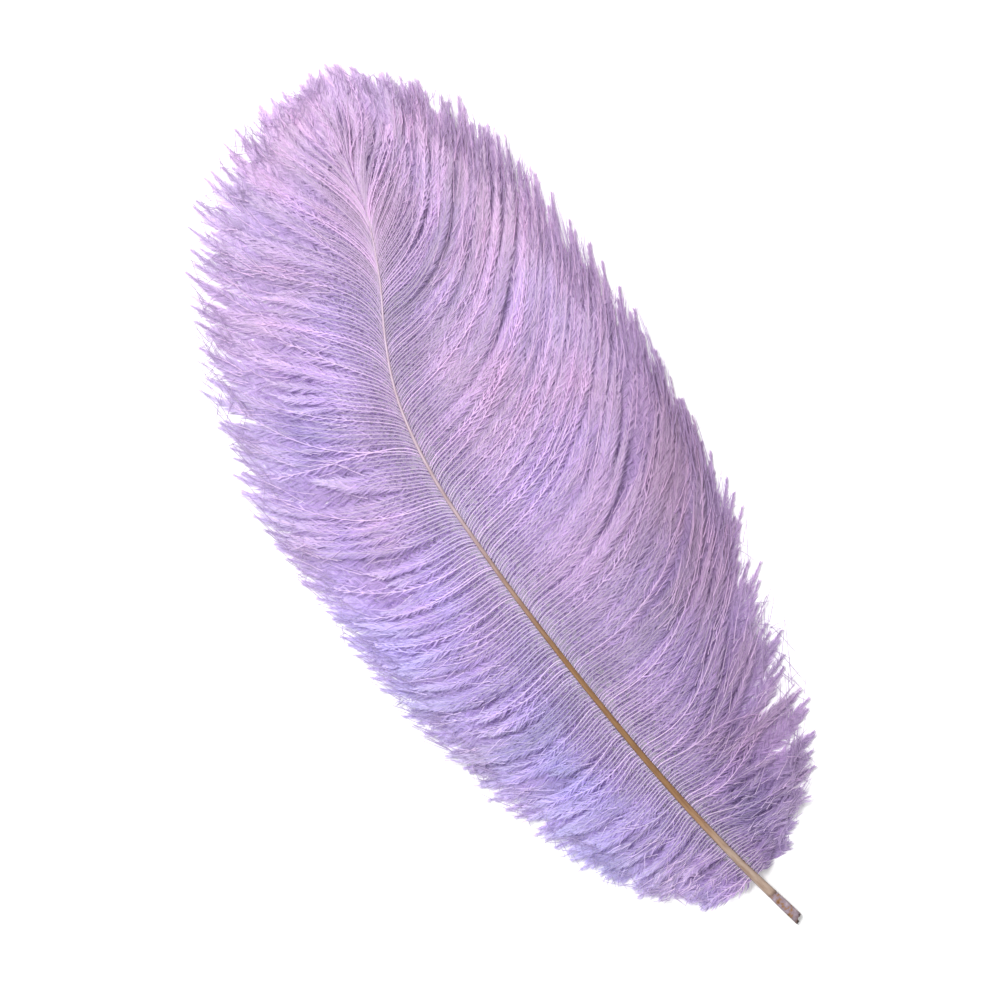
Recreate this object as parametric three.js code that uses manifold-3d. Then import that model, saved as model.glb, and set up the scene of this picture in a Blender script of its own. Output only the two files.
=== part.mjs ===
// An ostrich plume lying on a table with its upper side showing.
//
// Millimetres, +Z up. The plume points along +Y, from its cut quill to the tip of its last barbs, and
// z = 0 is the table. It has three bodies: the shaft, which is the hollow quill and the solid rachis
// grown as one, and the two vanes of soft barbs that leave it on the left (-X) and on the right (+X).
// The shaft arches over the table. Each vane is a thin sheet that leaves the shaft's side, comes down
// with the weight of its barbs and lies on the table along its outer band.

import * as THREE from 'three';
import { mergeVertices } from 'three/addons/utils/BufferGeometryUtils.js';
import Module from 'manifold-3d';

// ---- Shaft ----------------------------------------------------------------------------------------

const QUILL_RADIUS = 1.6;       // half the width of the quill at its cut end
const RACHIS_TIP_RADIUS = 0.3;  // half the width where the rachis ends among the tip barbs
const TAPER_POWER = 0.8;        // below 1, the shaft keeps its width low down and thins towards its tip
const SHAFT_ARCH = 14;          // rise of the shaft's middle over its ends
const TIP_LIFT = 1.5;           // how much further off the table the rachis tip is than the quill
const GROOVE_DEPTH = 0.3;       // hollow along the rachis's underside, as a share of the half width
const SHAFT_SIDES = 16;
const SHAFT_STEPS = 44;

const BORE_RADIUS = 1.05;       // the quill is a tube up to the first barbs
const BORE_END_RADIUS = 0.74;   // the tube narrows to this at its closed end
const BORE_DEPTH = 20;
const BORE_SIDES = 12;
const CUT_ANGLE = 52;           // degrees between the shaft and the slanting cut through the quill
const SPLIT_WIDTH = 0.7;        // crack in the upper wall of the quill, from its cut end
const SPLIT_END_WIDTH = 0.1;    // the crack's width where it runs out
const SPLIT_LENGTH = 13;
const BEYOND = 2;               // how far the cutting shapes stand out past the cut end

// The shaft's centre line seen from above: a long bow to the left that straightens at the tip.
const SHAFT_LINE = new THREE.CatmullRomCurve3([
  [27.5, -187.5],
  [17, -154.5],
  [6.5, -114],
  [-5, -56],
  [-12.3, -9],
  [-16, 30],
  [-14, 61],
  [-7.6, 83],
  [1.2, 104],
  [8.2, 126.5],
  [12, 148.8],
].map(([x, y]) => new THREE.Vector3(x, y, 0)), false, 'centripetal');

// ---- Vanes ----------------------------------------------------------------------------------------

const BARE_QUILL = 27;          // length of the quill below the first barbs
const GAP = 0.3;                // clear space between the shaft and each vane
const THICKNESS_AT_SHAFT = 2.4;
const THICKNESS_IN_MIDDLE = 4.4;
const THICKNESS_AT_EDGE = 0.8;
const LANDING = 2 / 3;          // share of a barb's length after which it lies on the table
const CLOSING = 0.8;            // share of a vane's length past which its barbs turn towards the tip
const LOCKS = 18;               // the barbs of a vane stand in this many pointed locks
const LOCK_DEPTH = 0.07;        // how far the edge draws back between locks, as a share of a barb
const STEPS_PER_LOCK = 4;
const STEPS_ALONG_BARB = 6;

// Where barb tips lie, at even steps along the vaned part of the shaft, from the quill to the tip, and
// the angles in degrees between the shaft and the barbs where they leave it and between +Y and the
// barbs' tips.
const LEFT = {
  side: -1,
  tips: [
    [1.5, -169.5], [-29.5, -142.5], [-52.5, -99.5], [-67.5, -53.5], [-76.5, -8.5], [-81.5, 29.5],
    [-81.5, 66.5], [-78.5, 100.5], [-70.5, 134.5], [-46.5, 166.5], [19.2, 187.5],
  ],
  rootAngle: 58,
  tipAngles: [105, 60],
};
const RIGHT = {
  side: 1,
  tips: [
    [36.5, -163.5], [61.5, -135.5], [76.5, -83.5], [81.5, -37.5], [82.5, 6.5], [81.5, 47.5],
    [77.5, 85.5], [70.5, 117.5], [60.5, 145.5], [45.5, 168.5], [20.6, 187.5],
  ],
  rootAngle: 44,
  tipAngles: [80, 35],
};

// ---- The shaft's line and section -----------------------------------------------------------------

const SHAFT_LENGTH = SHAFT_LINE.getLength();
const BARE_SHARE = BARE_QUILL / SHAFT_LENGTH;

/** Half the width of the shaft at a share of its length. */
function shaftRadius(share) {
  return RACHIS_TIP_RADIUS + (QUILL_RADIUS - RACHIS_TIP_RADIUS) * (1 - share) ** TAPER_POWER;
}

/** Point of the shaft's centre line at a share of its length, with its height over the table. */
function shaftPoint(share) {
  const point = SHAFT_LINE.getPointAt(share);
  point.z = QUILL_RADIUS + SHAFT_ARCH * Math.sin(Math.PI * share) + TIP_LIFT * share;
  return point;
}

/** Directions at a share of the shaft: along it, level to its right side, and up out of its back. */
function shaftFrame(share) {
  const reach = 0.005;
  const before = shaftPoint(Math.max(share - reach, 0));
  const after = shaftPoint(Math.min(share + reach, 1));
  const along = after.sub(before).normalize();
  const right = new THREE.Vector3(along.y, -along.x, 0).normalize();
  const up = new THREE.Vector3().crossVectors(right, along);
  return { along, right, up };
}

/** Closed mesh with shared vertices whose points are moved by place(point). */
function reshape(geometry, place) {
  geometry.deleteAttribute('normal');
  geometry.deleteAttribute('uv');
  const merged = mergeVertices(geometry, 1e-5);
  const position = merged.getAttribute('position');
  const point = new THREE.Vector3();
  for (let i = 0; i < position.count; i += 1) {
    point.fromBufferAttribute(position, i);
    const placed = place(point);
    position.setXYZ(i, placed.x, placed.y, placed.z);
  }
  return merged;
}

/** The whole shaft as a tapering rod along its line, with a groove in its underside. */
function rod() {
  const cylinder = new THREE.CylinderGeometry(1, 1, 1, SHAFT_SIDES, SHAFT_STEPS);
  const grooveEdge = 0.8;
  return reshape(cylinder, ({ x, y, z }) => {
    const share = y + 0.5;
    const radius = shaftRadius(share);
    const { right, up } = shaftFrame(share);
    const groove = GROOVE_DEPTH * THREE.MathUtils.smoothstep(share, BARE_SHARE, 2 * BARE_SHARE);
    const underside = Math.max(-z - grooveEdge, 0) / (1 - grooveEdge);
    return shaftPoint(share)
      .addScaledVector(right, radius * x)
      .addScaledVector(up, radius * (z + groove * underside));
  });
}

// ---- Joining and cutting --------------------------------------------------------------------------

const wasm = await Module();
wasm.setup();

/** Solid of a closed mesh, with the mesh's own place applied. */
function solid(geometry) {
  return new wasm.Manifold(new wasm.Mesh({
    numProp: 3,
    vertProperties: new Float32Array(geometry.getAttribute('position').array),
    triVerts: new Uint32Array(geometry.getIndex().array),
  }));
}

/** Geometry of a solid. */
function surface(body) {
  const { vertProperties, triVerts } = body.getMesh();
  const geometry = new THREE.BufferGeometry();
  geometry.setAttribute('position', new THREE.BufferAttribute(vertProperties, 3));
  geometry.setIndex(new THREE.BufferAttribute(triVerts, 1));
  geometry.computeVertexNormals();
  return geometry;
}

/** Geometry laid out in the quill's own directions (x right, y along, z up) from its cut end. */
function atQuillEnd(geometry) {
  const { along, right, up } = shaftFrame(0);
  const frame = new THREE.Matrix4().makeBasis(right, along, up).setPosition(shaftPoint(0));
  return reshape(geometry.applyMatrix4(frame), (point) => point);
}

/** The hollow inside the quill, open at its cut end. */
function bore() {
  const length = BORE_DEPTH + BEYOND;
  const hollow = new THREE.CylinderGeometry(BORE_END_RADIUS, BORE_RADIUS, length, BORE_SIDES);
  return atQuillEnd(hollow.translate(0, length / 2 - BEYOND, 0));
}

/** What the slanting cut takes off: all that lies over a plane through the quill's lowest edge. */
function slantingCut() {
  const size = 8 * QUILL_RADIUS;
  const block = new THREE.BoxGeometry(size, size, size).translate(0, -size / 2, 0);
  block.rotateX(THREE.MathUtils.degToRad(CUT_ANGLE - 90));
  return atQuillEnd(block.translate(0, 0, -QUILL_RADIUS));
}

/** The crack that runs up the quill's upper wall. */
function split() {
  const height = 2 * QUILL_RADIUS;
  const length = SPLIT_LENGTH + BEYOND;
  const wedge = new THREE.CylinderGeometry(SPLIT_END_WIDTH / 2, SPLIT_WIDTH / 2, length, 4);
  wedge.scale(1, 1, height / SPLIT_WIDTH);
  return atQuillEnd(wedge.translate(0, length / 2 - BEYOND, height / 2));
}

/** The finished shaft. */
function shaft() {
  const whole = solid(rod());
  return surface(whole.subtract(solid(bore())).subtract(solid(slantingCut())).subtract(solid(split())));
}

// ---- The vanes ------------------------------------------------------------------------------------

/** Flat direction at an angle in degrees from another, turned towards a side. */
function turned(direction, degrees, side) {
  const angle = THREE.MathUtils.degToRad(degrees) * -side;
  return direction.clone().applyAxisAngle(new THREE.Vector3(0, 0, 1), angle);
}

/** The curve, seen from above, of the barb that leaves the shaft at a share of a vane's length. */
function barbLine(vane, tips, share) {
  const onShaft = BARE_SHARE + share * (1 - BARE_SHARE);
  const { right, along } = shaftFrame(onShaft);
  const clear = vane.side * (shaftRadius(onShaft) + GAP);
  const root = shaftPoint(onShaft).addScaledVector(right, clear).setZ(0);
  const tip = tips.getPoint(share);
  const reach = root.distanceTo(tip) / 3;
  const forward = new THREE.Vector3(along.x, along.y, 0).normalize();
  const closing = 1 - THREE.MathUtils.smoothstep(share, CLOSING, 1);
  const leaving = turned(forward, vane.rootAngle * closing, vane.side);
  const lean = THREE.MathUtils.lerp(vane.tipAngles[0], vane.tipAngles[1], share) * closing;
  const arriving = turned(closing > 0 ? new THREE.Vector3(0, 1, 0) : forward, lean, vane.side);
  return {
    height: shaftPoint(onShaft).z,
    line: new THREE.CubicBezierCurve3(
      root,
      root.clone().addScaledVector(leaving, reach),
      tip.clone().addScaledVector(arriving, -reach),
      tip,
    ),
  };
}

/** How far out the barbs reach: full length at the point of each lock, less between two locks. */
function lockReach(share) {
  const phase = share * LOCKS * 2 * Math.PI;
  return 1 - LOCK_DEPTH * (0.5 - 0.5 * Math.cos(phase));
}

/** Thickness of the layer of barbs at a share of a barb's length. */
function thickness(share) {
  const swell = Math.sin(Math.PI * share);
  const taper = THREE.MathUtils.lerp(THICKNESS_AT_SHAFT, THICKNESS_AT_EDGE, share);
  const middle = (THICKNESS_AT_SHAFT + THICKNESS_AT_EDGE) / 2;
  return taper + (THICKNESS_IN_MIDDLE - middle) * swell;
}

/** One vane: a sheet whose rows are barbs, from the shaft's side to the barbs' tips. */
function vaneSheet(vane) {
  const tips = new THREE.CatmullRomCurve3(vane.tips.map(([x, y]) => new THREE.Vector3(x, y, 0)));
  const sheet = new THREE.BoxGeometry(1, 1, 1, STEPS_ALONG_BARB, LOCKS * STEPS_PER_LOCK, 1);
  return reshape(sheet, ({ x, y, z }) => {
    const alongShaft = y + 0.5;
    const alongBarb = 0.5 + vane.side * x;
    const { height, line } = barbLine(vane, tips, alongShaft);
    const point = line.getPoint(alongBarb * lockReach(alongShaft));
    const drop = THREE.MathUtils.smoothstep(alongBarb, 0, LANDING);
    const underside = (height - THICKNESS_AT_SHAFT / 2) * (1 - drop);
    point.z = Math.max(underside, 0) + (z > 0 ? thickness(alongBarb) : 0);
    return point;
  });
}

// ---- The plume ------------------------------------------------------------------------------------

const horn = new THREE.MeshStandardMaterial({ color: 0xb58a5c, roughness: 0.42, metalness: 0 });
const down = new THREE.MeshStandardMaterial({ color: 0xb79dd6, roughness: 0.9, metalness: 0 });

/** Named mesh of one body. */
function part(name, geometry, material) {
  const mesh = new THREE.Mesh(geometry, material);
  mesh.name = name;
  return mesh;
}

const plume = new THREE.Group();
plume.name = 'ostrich_feather';
plume.add(part('shaft', shaft(), horn));
plume.add(part('left_vane', vaneSheet(LEFT), down));
plume.add(part('right_vane', vaneSheet(RIGHT), down));

export default plume;
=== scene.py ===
"""A dyed ostrich plume that lies on a pale table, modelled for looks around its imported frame.

The maker's order of work: the shaft is drawn out by hand from one ring, from the cut quill to the tip of
the rachis, then bored, split and broken off at the quill. The barbs of each vane are laid along a field
of flow lines, gathered into locks, and dressed with tufts of barbules. Lengths are millimetres until a
mesh is made, and metres from there on.
"""
import logging
import math
from dataclasses import dataclass, fields
from enum import Enum
from typing import ClassVar

import bpy
import numpy as np
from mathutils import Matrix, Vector


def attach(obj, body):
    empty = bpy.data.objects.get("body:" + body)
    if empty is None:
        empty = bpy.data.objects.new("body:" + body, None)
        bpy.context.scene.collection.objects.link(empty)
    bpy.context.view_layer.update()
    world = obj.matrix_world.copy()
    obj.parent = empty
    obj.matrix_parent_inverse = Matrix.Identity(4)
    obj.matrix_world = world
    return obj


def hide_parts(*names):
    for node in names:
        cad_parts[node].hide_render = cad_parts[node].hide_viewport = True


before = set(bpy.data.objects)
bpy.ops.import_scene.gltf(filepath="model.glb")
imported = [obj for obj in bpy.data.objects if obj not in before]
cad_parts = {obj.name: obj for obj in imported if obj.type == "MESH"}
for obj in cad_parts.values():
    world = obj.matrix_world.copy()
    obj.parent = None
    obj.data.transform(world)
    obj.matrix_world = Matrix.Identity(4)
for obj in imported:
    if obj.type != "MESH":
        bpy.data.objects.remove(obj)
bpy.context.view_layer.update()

MM = 0.001
BODY = "root"
BAKE_MAP = "OFBake"
WHITE = "#FFFFFF"
SMOOTH_DEGREES = 40

# A tube's map: its outer side takes the first share of the width, and its bore a strip beside it.
OUTER_SHARE = 0.8
BORE_START = 0.86
BORE_SHARE = 0.12
log = logging.getLogger("ostrich_feather")

Array = np.ndarray


class Side(Enum):
    """The two sides of the shaft, seen from above with the tip away from the viewer."""

    LEFT = -1
    RIGHT = 1


# ---- Small helpers --------------------------------------------------------------------------------


def linear(hex_colour: str) -> tuple[float, float, float, float]:
    """Turn an sRGB colour into linear light.

    Args:
        hex_colour: six hex digits, with or without a leading #.

    Returns:
        Red, green, blue and an alpha of 1.
    """
    digits = hex_colour.lstrip("#")
    parts = [int(digits[i:i + 2], 16) / 255 for i in (0, 2, 4)]
    light = [c / 12.92 if c <= 0.04045 else ((c + 0.055) / 1.055) ** 2.4 for c in parts]
    return (*light, 1.0)


def ease(low: float, high: float, value: Array) -> Array:
    """Go smoothly from 0 at low to 1 at high.

    Args:
        low: where the step begins.
        high: where the step ends.
        value: the numbers to ease.

    Returns:
        The eased numbers, between 0 and 1.
    """
    step = np.clip((value - low) / (high - low), 0, 1)
    return step * step * (3 - 2 * step)


def station_shares(count: int) -> Array:
    """Space a barb's stations out from 0 to 1, closer together near the shaft."""
    return np.linspace(0, 1, count) ** 1.4


def unit(vectors: Array) -> Array:
    """Scale vectors along the last axis to length 1."""
    return vectors / np.maximum(np.linalg.norm(vectors, axis=-1, keepdims=True), 1e-9)


def ripple(rng: np.random.Generator, rows: int, share: Array, waves: int = 3) -> Array:
    """Draw a slow random wave for each row.

    Args:
        rng: the seeded source of chance.
        rows: how many waves to draw.
        share: where along each row the wave is read, from 0 to 1.
        waves: how many sines each wave is made of.

    Returns:
        One row of heights, about -1 to 1, for each wave.
    """
    total = np.zeros((rows, share.size))
    for octave in range(1, waves + 1):
        phase = rng.uniform(0, 2 * np.pi, (rows, 1))
        size = rng.normal(0, 1, (rows, 1)) / octave
        total += size * np.sin(np.pi * octave * 1.3 * share[None, :] + phase)
    return total / 1.8


def smooth_line(points: Array, per_span: int, power: float) -> Array:
    """Draw a Catmull-Rom line through points.

    Args:
        points: the points to pass through, one a row.
        per_span: how many steps to take between two of them.
        power: 0 spaces the knots evenly, 0.5 by the square root of their distance.

    Returns:
        The line's points, ends included.
    """
    first = 2 * points[0] - points[1]
    last = 2 * points[-1] - points[-2]
    knots = np.vstack([first, points, last])
    line = []
    for i in range(1, len(knots) - 2):
        before, start, end, after = knots[i - 1:i + 3]
        gaps = [np.linalg.norm(b - a) ** power for a, b in ((before, start), (start, end), (end, after))]
        slope_in = (start - before) / gaps[0] - (end - before) / (gaps[0] + gaps[1])
        slope_in = (slope_in + (end - start) / gaps[1]) * gaps[1]
        slope_out = (end - start) / gaps[1] - (after - start) / (gaps[1] + gaps[2])
        slope_out = (slope_out + (after - end) / gaps[2]) * gaps[1]
        t = np.linspace(0, 1, per_span, endpoint=False)[:, None]
        line.append(
            start * (2 * t**3 - 3 * t**2 + 1) + slope_in * (t**3 - 2 * t**2 + t)
            + end * (3 * t**2 - 2 * t**3) + slope_out * (t**3 - t**2)
        )
    return np.vstack([*line, points[-1:]])


def node(
    tree: bpy.types.NodeTree,
    kind: str,
    settings: dict | None = None,
    links: dict | None = None,
    stops: dict[float, str] | None = None,
) -> bpy.types.Node:
    """Add a shader node.

    Args:
        tree: the material's node tree.
        kind: the node's type, such as ShaderNodeMix.
        settings: attributes by name, and socket values by number or name.
        links: output sockets by the number or name of the input that they feed.
        stops: hex colours by their place on the node's colour ramp, where it has one.

    Returns:
        The new node.
    """
    made = tree.nodes.new(kind)
    for key, value in (settings or {}).items():
        if isinstance(key, str) and hasattr(made, key):
            setattr(made, key, value)
        else:
            made.inputs[key].default_value = value
    for key, socket in (links or {}).items():
        tree.links.new(socket, made.inputs[key])
    if stops:
        elements = made.color_ramp.elements
        while len(elements) < len(stops):
            elements.new(0.5)
        for element, place in zip(elements, sorted(stops)):
            element.position = place
            element.color = linear(stops[place])
    return made


def point_values(mesh: bpy.types.Mesh, name: str, values: Array) -> None:
    """Store one number for each vertex of a mesh under a name that materials can read."""
    mesh.attributes.new(name, "FLOAT", "POINT").data.foreach_set("value", values.astype(np.float32))


def corner_places(mesh: bpy.types.Mesh, places: Array) -> None:
    """Store where each face corner lies on the map that materials and the bake both use."""
    mesh.uv_layers.new(name=BAKE_MAP).data.foreach_set("uv", places.astype(np.float32).ravel())


def corner_vertices(mesh: bpy.types.Mesh) -> Array:
    """Read the vertex number of each face corner."""
    numbers = np.empty(len(mesh.loops), np.int32)
    mesh.loops.foreach_get("vertex_index", numbers)
    return numbers


def select_only(piece: bpy.types.Object) -> None:
    """Select one object and no other, and make it the active one.

    Args:
        piece: the object.
    """
    bpy.ops.object.select_all(action="DESELECT")
    piece.select_set(True)
    bpy.context.view_layer.objects.active = piece


def pick_out(piece: bpy.types.Object, kind: str, chosen: Array) -> None:
    """Go into edit mode on the active object with only some of its parts selected.

    Args:
        piece: the active object.
        kind: VERT or FACE.
        chosen: whether each vertex or face is selected.
    """
    bpy.ops.object.mode_set(mode="EDIT")
    bpy.ops.mesh.select_mode(type=kind)
    bpy.ops.mesh.select_all(action="DESELECT")
    bpy.ops.object.mode_set(mode="OBJECT")
    parts = piece.data.polygons if kind == "FACE" else piece.data.vertices
    parts.foreach_set("select", chosen)
    bpy.ops.object.mode_set(mode="EDIT")


def hand_over(
    piece: bpy.types.Object, material: bpy.types.Material, node_name: str,
) -> None:
    """Dress a piece and put it in place of its CAD node.

    Args:
        piece: the piece.
        material: its finish.
        node_name: the CAD node that it replaces.
    """
    piece.data.materials.append(material)
    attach(piece, BODY)
    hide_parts(node_name)
    log.info("%s: %d faces in place of %s", piece.name, len(piece.data.polygons), node_name)


# ---- Finishes -------------------------------------------------------------------------------------


@dataclass(frozen=True)
class DyedBarbFinish:
    """Feather keratin dyed lavender: soft matt barbules around paler, smoother rami.

    Barbules show a soft colour with no gloss, and let some light through, so thin places glow. Along each
    barbule the colour is painted shade and highlight: darker at its root, where it lies between others,
    and paler at its tip, where it lies on top. Fibres that lie under others are mixed towards a darker
    colour as painted shade. The dye took pinker towards the tip and bluer towards the quill, over
    half_length and half_width (in metres) from the plume's middle. The barbules are drawn darker on the
    right, past a slanting line: not at all where X plus the lean times Y, in metres, is under the first
    of the two places, and fully past the second.
    """

    name: str = "dyed_feather_barbs"
    ramus: str = "#EEE2F4"
    # Painted shade and highlight: barbules are drawn darker at their roots, where they lie between
    # others, and paler at their tips, where they lie on top.
    barbule_root: str = "#CFB9EA"
    barbule: str = "#DECDF4"
    barbule_tip_painted_highlight: str = "#EEE6FC"
    # Painted shade: the colour that fibres lying under others are mixed towards.
    painted_shade: str = "#B196CC"
    pinker: str = "#E8D0EA"
    bluer: str = "#CDD2FF"
    # Drawn darker on the right: the colour that the barbules there are multiplied by.
    right_darkening: str = "#D0C0D0"
    patch_mm: float = 45.0
    half_length: float = 0.19
    half_width: float = 0.08
    most_pink: float = 0.9
    most_blue: float = 0.62
    brightness: tuple[float, float] = (0.8, 1.2)
    hues: tuple[float, float] = (0.485, 0.515)
    right_darkening_places: tuple[float, float] = (0.036, 0.072)
    right_darkening_lean: float = -0.28
    most_right_darkening: float = 0.72
    roughness: float = 0.7
    keratin_ior: float = 1.45
    light_through: float = 0.45

    def material(self) -> bpy.types.Material:
        """Make the material.

        Returns:
            A material that reads the fibres' own hair, tint and depth attributes.
        """
        made = bpy.data.materials.new(self.name)
        made.use_nodes = True
        tree = made.node_tree
        tree.nodes.clear()
        hair, tint, depth = (
            node(tree, "ShaderNodeAttribute", {"attribute_name": name}).outputs["Fac"]
            for name in ("hair", "tint", "depth")
        )
        # The hair ramp: the rami's own pale colour, then barbules drawn darker at their roots and paler
        # at their tips as painted shade and highlight.
        dyed = node(
            tree, "ShaderNodeValToRGB", links={0: hair},
            stops={
                0.0: self.ramus, 0.1: self.ramus, 0.2: self.barbule_root, 0.6: self.barbule,
                1.0: self.barbule_tip_painted_highlight,
            },
        ).outputs[0]
        warmth = self._warmth(tree)
        pink_share = node(
            tree, "ShaderNodeMapRange", {1: 0.4, 2: 0.9, 3: 0.0, 4: self.most_pink}, {0: warmth},
        )
        blue_share = node(
            tree, "ShaderNodeMapRange", {1: 0.4, 2: 0.0, 3: 0.0, 4: self.most_blue}, {0: warmth},
        )
        pinked = node(
            tree, "ShaderNodeMix", {"data_type": "RGBA", 7: linear(self.pinker)},
            {0: pink_share.outputs[0], 6: dyed},
        )
        blued = node(
            tree, "ShaderNodeMix", {"data_type": "RGBA", 7: linear(self.bluer)},
            {0: blue_share.outputs[0], 6: pinked.outputs[2]},
        )
        # The barbules out on the right are drawn darker.
        darkened_on_right = node(
            tree, "ShaderNodeMix",
            {"data_type": "RGBA", "blend_type": "MULTIPLY", 7: linear(self.right_darkening)},
            {0: self._depth_of_dye(tree, hair), 6: blued.outputs[2]},
        )
        lit, hue = (
            node(tree, "ShaderNodeMapRange", {1: 0.0, 2: 1.0, 3: least, 4: most}, {0: tint})
            for least, most in (self.brightness, self.hues)
        )
        varied = node(
            tree, "ShaderNodeHueSaturation",
            links={"Color": darkened_on_right.outputs[2], "Value": lit.outputs[0], "Hue": hue.outputs[0]},
        )
        # Painted shade: fibres that lie under others are mixed towards a darker colour by their depth.
        shade = node(
            tree, "ShaderNodeMix", {"data_type": "RGBA", 7: linear(self.painted_shade)},
            {0: depth, 6: varied.outputs[0]},
        ).outputs[2]
        surface = node(
            tree, "ShaderNodeBsdfPrincipled",
            {"Roughness": self.roughness, "IOR": self.keratin_ior}, {"Base Color": shade},
        )
        through = node(tree, "ShaderNodeBsdfTranslucent", links={"Color": shade})
        both = node(
            tree, "ShaderNodeMixShader", {0: self.light_through},
            {1: surface.outputs[0], 2: through.outputs[0]},
        )
        node(tree, "ShaderNodeOutputMaterial", links={0: both.outputs[0]})
        return made

    def _depth_of_dye(
        self, tree: bpy.types.NodeTree, hair: bpy.types.NodeSocket,
    ) -> bpy.types.NodeSocket:
        """Say where the barbules are drawn darker: out on the right, and more so towards the quill.

        Args:
            tree: the material's node tree.
            hair: the output that is near 0 on the rami, which stay pale.

        Returns:
            An output from 0 to 1.
        """
        place = node(tree, "ShaderNodeTexCoord").outputs["Object"]
        axes = node(tree, "ShaderNodeSeparateXYZ", links={0: place})
        outward = node(
            tree, "ShaderNodeMath", {"operation": "MULTIPLY_ADD", 1: self.right_darkening_lean},
            {0: axes.outputs["Y"], 2: axes.outputs["X"]},
        )
        first, last = self.right_darkening_places
        darkening_share = node(
            tree, "ShaderNodeMapRange", {1: first, 2: last, 3: 0.0, 4: self.most_right_darkening},
            {0: outward.outputs[0]},
        )
        fluffy = node(tree, "ShaderNodeMapRange", {1: 0.05, 2: 0.14, 3: 0.3, 4: 1.0}, {0: hair})
        return node(
            tree, "ShaderNodeMath", {"operation": "MULTIPLY"},
            {0: darkening_share.outputs[0], 1: fluffy.outputs[0]},
        ).outputs[0]

    def _warmth(self, tree: bpy.types.NodeTree) -> bpy.types.NodeSocket:
        """Say where the dye took pinker, towards the plume's tip, and bluer, towards the quill.

        Args:
            tree: the material's node tree.

        Returns:
            An output that is about 0 where the dye is bluest and 0.9 where it is pinkest.
        """
        place = node(tree, "ShaderNodeTexCoord").outputs["Object"]
        axes = node(tree, "ShaderNodeSeparateXYZ", links={0: place})
        patches = node(
            tree, "ShaderNodeTexNoise", {"Scale": 1 / (self.patch_mm * MM), "Detail": 2.0},
            {"Vector": place},
        )
        towards_tip = node(
            tree, "ShaderNodeMapRange",
            {1: -self.half_length, 2: self.half_length, 3: -0.2, 4: 0.32}, {0: axes.outputs["Y"]},
        )
        towards_right = node(
            tree, "ShaderNodeMapRange",
            {1: -self.half_width, 2: self.half_width, 3: -0.2, 4: 0.2}, {0: axes.outputs["X"]},
        )
        both_ways = node(
            tree, "ShaderNodeMath", {"operation": "ADD"},
            {0: towards_tip.outputs[0], 1: towards_right.outputs[0]},
        )
        return node(
            tree, "ShaderNodeMath", {"operation": "ADD"},
            {0: both_ways.outputs[0], 1: patches.outputs["Fac"]},
        ).outputs[0]


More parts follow.
